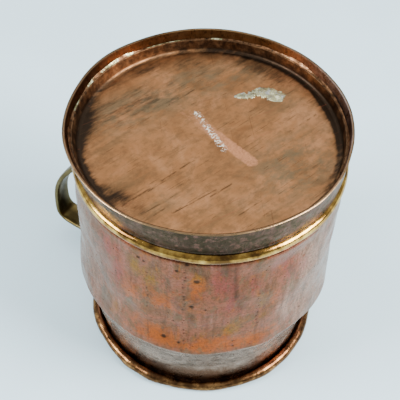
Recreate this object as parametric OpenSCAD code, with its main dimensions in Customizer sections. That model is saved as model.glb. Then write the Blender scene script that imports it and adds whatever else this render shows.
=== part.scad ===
// Copper mug with a brass strap handle, stored resting on its mouth.
// The origin is the centre of the mouth, on the plane that the rolled rim rests on.
// +Z runs up through the cup to the foot, and the handle stands out along -X.

/* [Overall] */
// Height from the mouth plane to the edge of the foot
height = 101.2; // [85:0.2:130]
// Thickness of the copper sheet
sheet = 0.9; // [0.6:0.1:1.2]
// Gap left between pieces that are soldered or closed over each other
fit_gap = 0.03; // [0.02:0.01:0.06]

/* [Rolled rim] */
// Diameter of the wire that stiffens the mouth
wire_d = 2.6; // [2:0.1:3.2]
// How far the curl of sheet goes past the top of the wire, in degrees
curl_past_top = 20; // [0:5:30]

/* [Neck and barrel] */
// Outer radius of the neck, just above the rolled rim
neck_r = 41.1; // [34:0.1:50]
// How far the shoulder crease stands out past the neck
crease_out = 5.1; // [3:0.1:8]
// Height of the shoulder crease above the mouth plane
crease_z = 33; // [27:0.5:40]
// How far the barrel swells outside a straight line above the crease; below 0 it is drawn in
belly_swell = -1; // [-1.6:0.1:2]

/* [Joint under the bead] */
// Outer radius of the foot ring's plug, which fits inside the barrel's collar
plug_r = 42.1; // [35:0.1:51]
// How far the plug reaches down inside the barrel
plug_depth = 5; // [3:0.5:8]
// Outside radius of the barrel's turn towards its collar
turn_r = 1.5; // [1.3:0.1:2.4]
// Flat ledge between that turn and the collar
ledge_w = 0.3; // [0.2:0.1:1]

/* [Foot ring] */
// Height of the flared band that shows above the bead
flare_h = 12.5; // [10:0.5:16]
// How far the foot's edge stands out past the plug
flare_out = 4.1; // [2:0.1:7]
// How far the flare's lower lip stands out past the plug, on a ledge over the bead
lip_out = 2.1; // [1.6:0.1:3.2]

/* [Base pan] */
// Depth of the base below the foot's edge
recess_depth = 7.6; // [6:0.2:9]
// Height of the pan's upturned flange above its face
flange_h = 4; // [3:0.2:5]
// Outside radius of the bend between the pan and its flange
pan_bend_r = 2.2; // [1.4:0.1:3]
// Height of the solder fillet above the flange
solder_h = 1.3; // [0.6:0.1:1.8]

/* [Bead] */
// Height of the half-round brass bead
bead_w = 4.2; // [3.4:0.2:5]
// How far the bead stands out from the barrel's collar
bead_proud = 2.7; // [1.8:0.1:2.9]
// How far the bead's middle lies below the top of the joint
bead_drop = 1.5; // [1:0.1:2]

/* [Handle] */
// Thickness of the brass strap
strap_t = 2.2; // [1.8:0.1:2.8]
// Width of the strap where it is riveted to the neck
strap_w_mouth = 14; // [12:0.5:17]
// Width of the strap where the loop is fullest
strap_w_mid = 7.6; // [6:0.2:9]
// Width of the strap just before its foot end
strap_w_foot = 4.6; // [4:0.2:6]
// Diameter of the round pad at the foot end
foot_pad_d = 7.6; // [6:0.2:9]
// Radius of the two bends at the wall, measured to the middle of the strap
strap_bend_r = 3; // [2.4:0.1:4]
// Height of the mouth end's rivets above the mouth plane
grip_low_z = 18; // [16:0.5:21]
// Distance from the foot end's rivet to the foot's edge
grip_high_gap = 37; // [31:0.5:44]
// How far the middle of the strap stands out past the crease where the loop is fullest
reach = 24.5; // [20:0.5:32]
// Height of the loop's fullest part above the mouth plane
loop_z = 15.5; // [13:0.5:22]

/* [Rivets] */
// Diameter of the rivets' shanks
rivet_d = 2.4; // [1.8:0.1:2.8]
// Diameter of the rivets' heads
rivet_head_d = 4.4; // [3.6:0.2:4.8]
// Height of the rivets' heads
rivet_head_h = 1.2; // [0.8:0.1:1.6]
// Distance between the two rivets at the mouth end
rivet_pitch = 7; // [6:0.2:9]

/* [Hidden] */
$fn = 96;

// The rolled rim: its section's centre, and its own radii
wire_r = wire_d / 2;
roll_r = wire_r + sheet;
roll_centre = [neck_r + wire_r, roll_r];

// Heights and radii of the joint between the barrel and the foot ring
joint_z = height - flare_h;
collar_r = plug_r + fit_gap + sheet;
bead_clear = 0.1;
ledge_z = joint_z - bead_drop - bead_w / 2 - bead_clear;
turn_centre = [collar_r + ledge_w, ledge_z - turn_r];
shoulder = turn_centre + [turn_r, 0];
crease = [neck_r + crease_out, crease_z];

// The flare of the foot ring starts from a lip over the bead: its lean from the vertical
// and the way that it runs
lip = [plug_r + lip_out, joint_z - bead_drop + bead_w / 2 + bead_clear];
lean = atan2(plug_r + flare_out - lip.x, height - lip.y);
flare_way = [sin(lean), cos(lean)];
flare_in = [-cos(lean), sin(lean)];

// ---- Outlines, as [radius, height] ----

// Points of a cubic curve with four control points, ends included
function cubic(p, n) = [
    for (i = [0:n])
        let (t = i / n, s = 1 - t)
        s * s * s * p[0] + 3 * s * s * t * p[1] + 3 * s * t * t * p[2] + t * t * t * p[3]
];

// Points of an arc about a centre, from one angle to another, ends included
function arc(centre, r, from, to, n) = [
    for (i = [0:n])
        let (a = from + (to - from) * i / n)
        centre + r * [cos(a), sin(a)]
];

function without_first(path) = [for (i = [1:len(path) - 1]) path[i]];
function backwards(path) = [for (i = [len(path) - 1:-1:0]) path[i]];

// The unit vector square to segment i of a path, on its left
function left_of(path, i) =
    let (d = path[i + 1] - path[i])
    [-d.y, d.x] / norm(d);

// A path moved to its left by w, with its corners mitred
function beside(path, w) = [
    for (i = [0:len(path) - 1])
        let (
            before = left_of(path, max(i - 1, 0)),
            after = left_of(path, min(i, len(path) - 2)),
            middle = (before + after) / norm(before + after)
        )
        path[i] + middle * w / (middle * before)
];

// The outline of a strip of thickness w, laid on the left of a path
function strip(path, w) = concat(path, backwards(beside(path, w)));

// The curl that closes over the wire, from its free end round to the neck
curl = arc(roll_centre, wire_r, 90 + curl_past_top, -180, 29);

// The neck opens in a hollow curve: it leaves the roll upright, and meets the crease
// at the slope that carries it a little under half of the way out in its last quarter
neck_upright = 0.38;
neck_late = 0.76;
neck_late_out = 0.45;
neck = cubic([
    [neck_r, roll_r],
    [neck_r, crease_z * neck_upright],
    [neck_r + crease_out * neck_late_out, crease_z * neck_late],
    crease
], 10);

// The barrel bows a little between the crease and the shoulder, mostly below its middle
barrel_h = shoulder.y - crease.y;
swell_low = 0.35;
swell_high = 0.75;
barrel = cubic([
    crease,
    crease + [belly_swell, barrel_h * swell_low],
    [(crease.x + shoulder.x) / 2 + belly_swell, crease.y + barrel_h * swell_high],
    shoulder
], 14);

turn = arc(turn_centre, turn_r, 0, 90, 6);
collar = [[collar_r, ledge_z], [collar_r, joint_z - fit_gap]];

wall = concat(neck, without_first(barrel), without_first(turn));
body_path = concat(curl, without_first(wall), collar);

// The foot ring, from the end of its plug over the ledge and up to the foot's edge
foot_path = [[plug_r, joint_z - plug_depth], [plug_r, lip.y], lip, [plug_r + flare_out, height]];

// The flare's radius at a height, a distance inside its outer face
function flare_r(z, inside) = lip.x + (z - lip.y) * tan(lean) - inside / cos(lean);

// The pan's flange runs up inside the flare, so its corner and its top lie on the flare's inside
pan_z = height - recess_depth - sheet;
function flange_at(z) = [flare_r(z, sheet + fit_gap), z];
pan_corner = flange_at(pan_z);
flange_top = flange_at(height - recess_depth + flange_h);
bend_turn = 90 - lean;
bend_centre = [pan_corner.x - pan_bend_r * tan(bend_turn / 2), pan_z + pan_bend_r];
pan_path = concat(
    [[0, pan_z]],
    arc(bend_centre, pan_bend_r, -90, -90 + bend_turn, 8),
    [flange_top]
);

// The radius of the outside of the wall at a height, and its lean there, read over a short step
lean_step = 1;
function wall_r(z) = lookup(z, [for (p = wall) [p.y, p.x]]);
function wall_lean(z) = atan((wall_r(z + lean_step / 2) - wall_r(z - lean_step / 2)) / lean_step);

// The strap: a pad on the neck, a bend, the ear-shaped loop, a bend and a pad on the barrel.
// It dips a little as it leaves the neck, and comes back to the barrel at a climb, in degrees.
// The pulls and rounds set how far the curves hold those directions.
head_margin = 1;
pad_top = grip_low_z + strap_w_mouth / 2;
grip_high_z = height - grip_high_gap;
leave_low_z = grip_low_z - rivet_head_d / 2 - head_margin;
leave_high_z = grip_high_z - foot_pad_d / 2 - head_margin;
dip = 11;
climb = 46;
span = leave_high_z - loop_z;
low_pull = reach * 0.8;
low_round = loop_z * 0.6;
high_round = span * 0.3;
high_pull = span * 0.7;
loop_out = crease.x + reach;
function on_wall(z) = [wall_r(z) + strap_t / 2, z];
low_bend = arc(on_wall(leave_low_z) + [strap_bend_r, 0], strap_bend_r, 180, 270 - dip, 8);
high_bend = arc(on_wall(leave_high_z) + [strap_bend_r, 0], strap_bend_r, 180 + climb, 180, 6);
fullest = [loop_out, loop_z];
loop_start = low_bend[len(low_bend) - 1];
strap_path = concat(
    [for (up = [strap_w_mouth / 2:-2:0]) on_wall(grip_low_z + up)],
    low_bend,
    without_first(cubic([
        loop_start,
        loop_start + low_pull * [cos(dip), -sin(dip)],
        fullest - [0, low_round],
        fullest
    ], 16)),
    without_first(cubic([
        fullest,
        fullest + [0, high_round],
        high_bend[0] + high_pull * [cos(climb), -sin(climb)],
        high_bend[0]
    ], 16)),
    without_first(high_bend),
    [on_wall(grip_high_z), on_wall(grip_high_z + foot_pad_d / 2)]
);

// ---- Shapes that several pieces share ----

// Everything inside the outer face of the wall, grown by a gap
module within_wall(gap) {
    rotate_extrude()
        polygon(concat([[0, wall[0].y]], [for (p = wall) p + [gap, 0]], [[0, wall[len(wall) - 1].y]]));
}

// The hollow of the cup, drawn in from the wall's inner face by a gap
module hollow(gap) {
    inner = beside(wall, sheet);
    rotate_extrude()
        polygon(concat([[0, inner[0].y]], [for (p = inner) p - [gap, 0]], [[0, inner[len(inner) - 1].y]]));
}

// Places its children on the wall under the handle, with their +Z pointing out of the wall
module on_handle_side(z, y) {
    translate([-wall_r(z), y, z])
        rotate([0, -90 - wall_lean(z), 0])
            children();
}

// The places of the rivets, as [height, sideways]
mouth_rivet_places = [[grip_low_z, -rivet_pitch / 2], [grip_low_z, rivet_pitch / 2]];
foot_rivet_places = [[grip_high_z, 0]];
tail_h = rivet_head_h * 0.8;
tail_sink = 1;

module rivet_holes() {
    depth = 2 * (sheet + tail_sink);
    for (p = concat(mouth_rivet_places, foot_rivet_places))
        on_handle_side(p[0], p[1])
            translate([0, 0, -depth])
                cylinder(h = depth + 2 * strap_t, d = rivet_d + 2 * fit_gap, $fn = 32);
}

// A low dome that stands on z = 0
module dome(d, h) {
    ball_r = (d * d / 4 + h * h) / (2 * h);
    intersection() {
        translate([0, 0, h - ball_r])
            sphere(r = ball_r);
        cylinder(h = h, d = d);
    }
}

// One rivet: a shank, a domed head on the strap and a domed tail inside the cup
module rivet(z, y) {
    on_handle_side(z, y)
        translate([0, 0, -sheet - tail_sink])
            cylinder(h = sheet + tail_sink + strap_t + 2 * fit_gap, d = rivet_d, $fn = 32);
    on_handle_side(z, y)
        translate([0, 0, strap_t + fit_gap])
            dome(rivet_head_d, rivet_head_h);
    intersection() {
        hollow(fit_gap);
        on_handle_side(z, y)
            translate([0, 0, -sheet])
                rotate([180, 0, 0])
                    union() {
                        translate([0, 0, -sheet / 2])
                            cylinder(h = sheet, d = rivet_head_d);
                        translate([0, 0, sheet / 2])
                            dome(rivet_head_d, tail_h);
                    }
    }
}

// ---- The pieces ----

// One sheet of copper: the curl round the wire, the neck, the barrel and its collar
module body() {
    color("sandybrown")
        difference() {
            rotate_extrude()
                polygon(strip(body_path, sheet));
            rivet_holes();
        }
}

// The wire that the mouth's edge is rolled over
module rim_wire() {
    color("gray")
        rotate_extrude()
            translate(roll_centre)
                circle(r = wire_r - fit_gap, $fn = 32);
}

// The flared band that the mug stands on, with its plug inside the barrel's collar
module foot_ring() {
    inner = beside(foot_path, sheet);
    color("rosybrown")
        rotate_extrude()
            polygon(concat(foot_path, [[flare_r(height, sheet), height], inner[2], inner[1], inner[0]]));
}

// The recessed base, whose upturned flange is soldered inside the flare
module base_pan() {
    color("peru")
        rotate_extrude()
            polygon(strip(pan_path, sheet));
}

// The fillet of solder on the flange's top, against the flare
module base_solder() {
    low = flange_top + flare_way * fit_gap;
    color("silver")
        rotate_extrude()
            polygon([low, low + flare_way * solder_h, low + flare_in * sheet]);
}

// The half-round brass wire that covers the joint
module bead_ring() {
    flat_r = collar_r + fit_gap;
    centre = [flat_r + bead_proud - bead_w / 2, joint_z - bead_drop];
    color("gold")
        rotate_extrude()
            difference() {
                translate(centre)
                    circle(d = bead_w);
                translate([flat_r - bead_w, centre.y - bead_w])
                    square([bead_w, 2 * bead_w]);
            }
}

// The front of the strap, as seen along X: a broad pad, a tapered arm and a round pad
module strap_front() {
    translate([-strap_w_mouth / 2, 0])
        square([strap_w_mouth, grip_low_z]);
    translate([0, grip_low_z])
        circle(d = strap_w_mouth);
    polygon([
        [-strap_w_mid / 2, grip_low_z],
        [strap_w_mid / 2, grip_low_z],
        [strap_w_mid / 2, pad_top],
        [strap_w_foot / 2, grip_high_z],
        [-strap_w_foot / 2, grip_high_z],
        [-strap_w_mid / 2, pad_top]
    ]);
    translate([0, grip_high_z])
        circle(d = foot_pad_d);
}

// The same strap seen along Z: it narrows all the way from the neck to the fullest part
module strap_top() {
    polygon([
        [-neck_r, -strap_w_mouth / 2],
        [-neck_r, strap_w_mouth / 2],
        [-loop_out, strap_w_mid / 2],
        [-loop_out - strap_t, strap_w_mid / 2],
        [-loop_out - strap_t, -strap_w_mid / 2],
        [-loop_out, -strap_w_mid / 2]
    ]);
}

// The brass strap, bent in the plane of -X and Z and fitted to the wall at both ends
module handle() {
    side = strip(beside(strap_path, -strap_t / 2), strap_t);
    color("darkgoldenrod")
        difference() {
            intersection() {
                rotate([90, 0, 0])
                    linear_extrude(height = 2 * strap_w_mouth, center = true)
                        polygon([for (p = side) [-p.x, p.y]]);
                rotate([90, 0, -90])
                    linear_extrude(height = 2 * loop_out)
                        strap_front();
                linear_extrude(height = height)
                    strap_top();
            }
            within_wall(fit_gap);
            rivet_holes();
        }
}

module mouth_rivets() {
    color("goldenrod")
        for (p = mouth_rivet_places)
            rivet(p[0], p[1]);
}

module foot_rivet() {
    color("goldenrod")
        for (p = foot_rivet_places)
            rivet(p[0], p[1]);
}

body();
rim_wire();
foot_ring();
base_pan();
base_solder();
bead_ring();
handle();
mouth_rivets();
foot_rivet();
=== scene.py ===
import math

import bmesh
import bpy
import numpy as np
from mathutils import Matrix, Vector


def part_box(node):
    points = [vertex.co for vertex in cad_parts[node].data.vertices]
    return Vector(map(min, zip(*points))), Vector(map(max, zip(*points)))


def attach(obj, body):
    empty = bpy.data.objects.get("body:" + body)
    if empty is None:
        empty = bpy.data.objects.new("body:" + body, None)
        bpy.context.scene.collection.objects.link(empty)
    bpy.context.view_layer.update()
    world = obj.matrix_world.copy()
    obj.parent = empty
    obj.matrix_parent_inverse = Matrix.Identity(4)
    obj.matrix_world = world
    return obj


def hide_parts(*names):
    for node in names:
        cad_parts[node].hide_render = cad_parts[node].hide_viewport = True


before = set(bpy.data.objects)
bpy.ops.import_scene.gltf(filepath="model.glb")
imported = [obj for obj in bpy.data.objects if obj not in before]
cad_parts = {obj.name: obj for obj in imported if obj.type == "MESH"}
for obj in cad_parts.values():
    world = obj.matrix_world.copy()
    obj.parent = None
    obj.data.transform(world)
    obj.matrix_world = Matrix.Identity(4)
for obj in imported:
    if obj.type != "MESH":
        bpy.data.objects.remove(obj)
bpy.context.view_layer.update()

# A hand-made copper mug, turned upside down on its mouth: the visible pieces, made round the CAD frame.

MM = 0.001
TAU = 2 * math.pi

# ---- Sizes, in mm: most come from the frame, the rest are the sheet's own ----


def box_mm(node):
    """The lowest and highest corner of a CAD node, in mm."""
    lo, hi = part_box(node)
    return np.array(lo) / MM, np.array(hi) / MM


foot_lo, foot_hi = box_mm("foot_ring")
pan_lo, pan_hi = box_mm("base_pan")
solder_lo, solder_hi = box_mm("base_solder")
bead_lo, bead_hi = box_mm("bead_ring")
body_hi = box_mm("body")[1]
wire_lo, wire_hi = box_mm("rim_wire")

# The copper sheet's thickness, and the gap left between pieces that fit together
SHEET = 0.9
GAP = 0.03
HEIGHT = foot_hi[2]
EDGE_R = foot_hi[0]
# The roll is the sheet bent round the rim wire. WIRE_R is the radius of the bend's inner face
WIRE_R = (wire_hi[2] - wire_lo[2]) / 2 + GAP
ROLL_R = WIRE_R + SHEET
NECK_R = wire_hi[0] + GAP - 2 * WIRE_R
CREASE = np.array([46.2, 33.0])
# The joint: the foot ring's plug inside the body's collar, with the bead between two ledges
PLUG_R = 42.1
LIP_OUT = 2.1
BEAD_CLEAR = 0.1
JOINT_Z = body_hi[2] + GAP
BEAD_W = bead_hi[2] - bead_lo[2]
BEAD_Z = (bead_lo[2] + bead_hi[2]) / 2
COLLAR_R = PLUG_R + GAP + SHEET
LEDGE_Z = bead_lo[2] - BEAD_CLEAR
TURN_R = 1.5
LEDGE_W = 0.3
LIP = np.array([PLUG_R + LIP_OUT, bead_hi[2] + BEAD_CLEAR])
LEAN = math.atan2(EDGE_R - LIP[0], HEIGHT - LIP[1])
PAN_FACE = pan_lo[2] + SHEET
PAN_BEND_R = 2.2
STRAP_T = 2.2

# Steps round each turned piece, and the radius at which uneven surfaces are laid out
N_ROUND = 640
MEAN_R = 46

# ---- The camera: it looks at the middle of the mouth, then turns up and a little aside ----

CAMERA_AZIMUTH = 30
CAMERA_ELEVATION = 57.0
CAMERA_DISTANCE = 334.2 * MM
CAMERA_LENS = 72
SENSOR_WIDTH = 36
TURN_ASIDE = math.radians(0.39)
TURN_UP = math.radians(6.71)
TILT = math.radians(2.55)


def toward(azimuth, elevation):
    """The unit vector from the mug towards an azimuth and an elevation in degrees. Azimuth 0 is at -Y."""
    a, e = math.radians(azimuth), math.radians(elevation)
    return Vector((math.sin(a) * math.cos(e), -math.cos(a) * math.cos(e), math.sin(e)))


def add_camera():
    """A camera on a line from the mouth's centre, given by azimuth and elevation."""
    back = toward(CAMERA_AZIMUTH, CAMERA_ELEVATION)
    facing = back.to_track_quat("Z", "Y").to_matrix()
    turn = Matrix.Rotation(TURN_ASIDE, 3, "Y") @ Matrix.Rotation(TURN_UP, 3, "X")
    turn = turn @ Matrix.Rotation(TILT, 3, "Z")
    data = bpy.data.cameras.new("camera")
    data.lens = CAMERA_LENS
    data.sensor_width = SENSOR_WIDTH
    camera = bpy.data.objects.new("camera", data)
    camera.matrix_world = Matrix.Translation(back * CAMERA_DISTANCE) @ (facing @ turn).to_4x4()
    bpy.context.collection.objects.link(camera)
    bpy.context.scene.camera = camera


add_camera()

# ---- Outlines, as rows of (radius, height) in mm ----


def cubic(p0, p1, p2, p3, n):
    """Points of a cubic curve: s^3 p0 + 3 s^2 t p1 + 3 s t^2 p2 + t^3 p3, with s = 1 - t."""
    t = np.linspace(0, 1, n)[:, None]
    s = 1 - t
    p0, p1, p2, p3 = (np.array(p, float) for p in (p0, p1, p2, p3))
    return s**3 * p0 + 3 * s * s * t * p1 + 3 * s * t * t * p2 + t**3 * p3


def arc(centre, r, start, end, n):
    """Points of an arc about a centre, with angles in degrees."""
    a = np.radians(np.linspace(start, end, n))
    return np.array(centre) + r * np.stack([np.cos(a), np.sin(a)], 1)


def join(*paths):
    """The paths end to end, without a doubled point where two meet."""
    rows = np.concatenate([np.array(p, float) for p in paths])
    keep = np.r_[True, np.linalg.norm(np.diff(rows, axis=0), axis=1) > 1e-6]
    return rows[keep]


def even(path, step):
    """The path with its points about one step apart, so that a corner is cut by less than a step."""
    run = np.r_[0, np.cumsum(np.linalg.norm(np.diff(path, axis=0), axis=1))]
    at = np.linspace(0, run[-1], max(int(round(run[-1] / step)), 2) + 1)
    return np.stack([np.interp(at, run, path[:, k]) for k in (0, 1)], 1)


def left_of(path):
    """Unit vectors square to the path, on its left: the tangent turned by 90 degrees."""
    d = np.gradient(path, axis=0)
    d /= np.linalg.norm(d, axis=1)[:, None]
    return np.stack([-d[:, 1], d[:, 0]], 1)


def shell(path, thickness):
    """A closed outline round a sheet: the path, then its copy one thickness to the left, backwards."""
    inner = path + left_of(path) * thickness
    return np.concatenate([path, inner[::-1]])


# How far the barrel's middle swells out. Below 0 it is drawn in
SWELL = -1.0
barrel_top = np.array([COLLAR_R + LEDGE_W + TURN_R, LEDGE_Z - TURN_R])
barrel_h = barrel_top[1] - CREASE[1]
curl = arc((NECK_R + WIRE_R, ROLL_R), WIRE_R, 110, -180, 60)
neck = cubic(
    (NECK_R, ROLL_R),
    (NECK_R, CREASE[1] * 0.38),
    (NECK_R + (CREASE[0] - NECK_R) * 0.45, CREASE[1] * 0.76),
    CREASE,
    60,
)
barrel = cubic(
    CREASE,
    CREASE + (SWELL, barrel_h * 0.35),
    ((CREASE[0] + barrel_top[0]) / 2 + SWELL, CREASE[1] + barrel_h * 0.75),
    barrel_top,
    120,
)
shoulder_turn = arc(barrel_top - (TURN_R, 0), TURN_R, 0, 90, 10)
collar = [(COLLAR_R, LEDGE_Z), (COLLAR_R, JOINT_Z - GAP)]
wall = join(neck, barrel)


def wall_r(z):
    """The radius of the wall's outer face at a height."""
    return np.interp(z, wall[:, 1], wall[:, 0])


# ---- Uneven surfaces: smooth random fields over (angle, height) ----

# The grid's step and its height in mm
FIELD_STEP = 0.5
FIELD_UP = 128.0


def field(seed, spread_round, spread_up):
    """Random values blurred by a bell curve, with mean 0 and spread 1, on a grid that joins up all round.

    spread_round and spread_up are the bell curve's widths in mm."""
    n, m = int(TAU * MEAN_R / FIELD_STEP), int(FIELD_UP / FIELD_STEP)
    rows = np.random.default_rng(seed).standard_normal((n, m))
    fu = np.fft.fftfreq(n, FIELD_STEP)[:, None]
    fv = np.fft.fftfreq(m, FIELD_STEP)[None, :]
    bell = np.exp(-2 * math.pi**2 * ((fu * spread_round) ** 2 + (fv * spread_up) ** 2))
    rows = np.fft.ifft2(np.fft.fft2(rows) * bell).real
    return (rows - rows.mean()) / rows.std()


def sample(grid, phi, z):
    """A field's value at an angle (radians) and a height (mm), by bilinear interpolation."""
    n, m = grid.shape
    u = (phi / TAU % 1) * n
    v = (z / FIELD_STEP) % m
    i, j = np.floor(u).astype(int), np.floor(v).astype(int)
    a, b = u - i, v - j
    i0, i1, j0, j1 = i % n, (i + 1) % n, j % m, (j + 1) % m
    low = grid[i0, j0] * (1 - a) + grid[i1, j0] * a
    high = grid[i0, j1] * (1 - a) + grid[i1, j1] * a
    return low * (1 - b) + high * b


def bump(x, centre, width):
    """A bell curve of height 1."""
    return np.exp(-(((x - centre) / width) ** 2))


def turn_to(phi, degrees):
    """The angle from a direction, wrapped into -pi to pi."""
    return (phi - math.radians(degrees) + math.pi) % TAU - math.pi


def ease(x, low, high):
    """A smooth step from 0 at low to 1 at high: 3 t^2 - 2 t^3."""
    t = np.clip((x - low) / (high - low), 0, 1)
    return t * t * (3 - 2 * t)


# ---- Meshes ----


def grid_mesh(name, points, close_first, close_second, marks):
    """A mesh from an (n, m, 3) array of points in mm, joined into quads along both directions.

    close_first and close_second join the last row or column back to the first. Points that fall
    together, as at a pole, are merged, and the faces are turned outwards. marks are named (n, m)
    arrays that become attributes for the material."""
    n, m = points.shape[:2]
    i = np.arange(n if close_first else n - 1)[:, None]
    j = np.arange(m if close_second else m - 1)[None, :]
    i1, j1 = (i + 1) % n, (j + 1) % m
    corners = np.broadcast_arrays(i * m + j, i1 * m + j, i1 * m + j1, i * m + j1)
    quads = np.stack(corners, -1).reshape(-1, 4)
    mesh = bpy.data.meshes.new(name)
    mesh.vertices.add(n * m)
    mesh.vertices.foreach_set("co", (points.reshape(-1, 3) * MM).astype(np.float32).ravel())
    mesh.loops.add(quads.size)
    mesh.loops.foreach_set("vertex_index", quads.astype(np.int32).ravel())
    mesh.polygons.add(len(quads))
    mesh.polygons.foreach_set("loop_start", np.arange(len(quads), dtype=np.int32) * 4)
    mesh.update(calc_edges=True)
    for key, values in marks.items():
        layer = mesh.attributes.new(key, "FLOAT", "POINT")
        layer.data.foreach_set("value", np.broadcast_to(values, (n, m)).astype(np.float32).ravel())
    bm = bmesh.new()
    bm.from_mesh(mesh)
    bmesh.ops.remove_doubles(bm, verts=bm.verts, dist=1e-7)
    bmesh.ops.dissolve_degenerate(bm, edges=bm.edges, dist=1e-8)
    bmesh.ops.recalc_face_normals(bm, faces=bm.faces)
    for face in bm.faces:
        face.smooth = True
    bm.to_mesh(mesh)
    bm.free()
    obj = bpy.data.objects.new(name, mesh)
    bpy.context.collection.objects.link(obj)
    return obj


def revolve(name, path, push, closed, marks):
    """A path of (radius, height) turned about Z, then pushed out of true.

    push(phi, path) gives each point's own (radius, height), as an (N_ROUND, points, 2) array in mm.
    marks are named rules over (angle, radius, height)."""
    phi = np.linspace(0, TAU, N_ROUND, endpoint=False)[:, None]
    moved = push(phi, path)
    r, z = moved[..., 0], moved[..., 1]
    points = np.stack([r * np.cos(phi), r * np.sin(phi), z], -1)
    values = {key: rule(phi, r, z) for key, rule in marks.items()}
    return grid_mesh(name, points, True, closed, values)


def cap_ends(points):
    """The grid with one more row at each end, drawn in to the end row's middle."""
    first, last = (points[[k]].mean(axis=1, keepdims=True) + 0 * points[[k]] for k in (0, -1))
    return np.concatenate([first, points, last])


def place(piece, node, material):
    """Gives a piece its finish and its body, and hides the CAD node that it stands for."""
    piece.data.materials.clear()
    piece.data.materials.append(material)
    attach(piece, "root")
    if node:
        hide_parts(node)


# ---- Finishes: a small kit for node materials ----


class Finish:
    """A node material under construction. Every method adds nodes and returns an output socket.

    tint is the colour of the shine at a glancing angle."""

    def __init__(self, name, tint=(0.95, 0.86, 0.80)):
        self.material = bpy.data.materials.new(name)
        self.material.use_nodes = True
        self.tree = self.material.node_tree
        self.shader = self.tree.nodes["Principled BSDF"]
        self.shader.inputs["Specular Tint"].default_value = (*tint, 1)
        self.coord = self.tree.nodes.new("ShaderNodeTexCoord").outputs["Object"]

    def add(self, kind, inputs=(), **settings):
        """A node with its settings. Its inputs are sockets to link or values to set."""
        node = self.tree.nodes.new(kind)
        for key, value in settings.items():
            setattr(node, key, value)
        for key, value in dict(inputs).items():
            if isinstance(value, bpy.types.NodeSocket):
                self.tree.links.new(value, node.inputs[key])
            else:
                node.inputs[key].default_value = value
        return node

    def coords(self, stretch=(1, 1, 1), turn=(0, 0, 0), shift=(0, 0, 0)):
        """Object coordinates in mm, turned (degrees) and then stretched by a divisor in each direction."""
        rotation = [math.radians(t) for t in turn]
        location = [s * MM for s in shift]
        inputs = {"Vector": self.coord, "Rotation": rotation, "Location": location}
        turned = self.add("ShaderNodeMapping", inputs).outputs[0]
        scale = [1 / (MM * s) for s in stretch]
        return self.add("ShaderNodeMapping", {"Vector": turned, "Scale": scale}).outputs[0]

    def noise(self, size, detail, rough, warp=0.0, **layout):
        """Fractal noise whose largest features are about size mm. layout is as for coords."""
        inputs = {
            "Vector": self.coords(**layout),
            "Scale": 1 / size,
            "Detail": detail,
            "Roughness": rough,
            "Distortion": warp,
        }
        return self.add("ShaderNodeTexNoise", inputs).outputs["Fac"]

    def cells(self, size):
        """Distance from the nearest of scattered points, in parts of size mm."""
        inputs = {"Vector": self.coords(), "Scale": 1 / size}
        return self.add("ShaderNodeTexVoronoi", inputs).outputs["Distance"]

    def step(self, value, low, high, to_low=0.0, to_high=1.0):
        """Value mapped smoothly from low..high to to_low..to_high."""
        inputs = {"Value": value, "From Min": low, "From Max": high, "To Min": to_low, "To Max": to_high}
        node = self.add("ShaderNodeMapRange", inputs, interpolation_type="SMOOTHSTEP")
        return node.outputs["Result"]

    def mark(self, name):
        """A named attribute of the mesh."""
        return self.add("ShaderNodeAttribute", attribute_name=name).outputs["Fac"]

    def maths(self, kind, a, b):
        """One sum on two values."""
        return self.add("ShaderNodeMath", {0: a, 1: b}, operation=kind).outputs[0]

    def times(self, a, b):
        """a times b."""
        return self.maths("MULTIPLY", a, b)

    def plus(self, a, b):
        """a plus b."""
        return self.maths("ADD", a, b)

    def most(self, a, b):
        """The larger of a and b."""
        return self.maths("MAXIMUM", a, b)

    def about_zero(self, value, amount):
        """A pattern that runs from 0 to 1, made to swing about 0 and scaled."""
        return self.times(self.plus(value, -0.5), amount)

    def colour(self, fac, stops):
        """A colour ramp. stops are (position, (r, g, b))."""
        ramp = self.tree.nodes.new("ShaderNodeValToRGB")
        self.tree.links.new(fac, ramp.inputs[0])
        band = ramp.color_ramp
        while len(band.elements) < len(stops):
            band.elements.new(0.5)
        for element, (at, rgb) in zip(band.elements, stops):
            element.position = at
            element.color = (*rgb, 1)
        return ramp.outputs[0]

    def mix(self, fac, a, b):
        """b laid over a, by fac. Colours may be sockets or (r, g, b)."""
        node = self.add("ShaderNodeMix", data_type="RGBA")
        for key, value in ((0, fac), (6, a), (7, b)):
            if isinstance(value, bpy.types.NodeSocket):
                self.tree.links.new(value, node.inputs[key])
            else:
                node.inputs[key].default_value = (*value, 1)
        return node.outputs[2]

    def relief(self, *layers):
        """Bump from (height socket, depth in mm) layers."""
        normal = None
        for height, depth in layers:
            inputs = {"Height": height, "Strength": 1.0, "Distance": depth * MM}
            if normal is not None:
                inputs["Normal"] = normal
            normal = self.add("ShaderNodeBump", inputs).outputs[0]
        return normal

    def done(self, colour, roughness, normal, metallic=1.0):
        """The finished material. The normal may be None."""
        links = self.tree.links
        links.new(colour, self.shader.inputs["Base Color"])
        links.new(roughness, self.shader.inputs["Roughness"])
        if normal is not None:
            links.new(normal, self.shader.inputs["Normal"])
        self.shader.inputs["Metallic"].default_value = metallic
        return self.material


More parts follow.
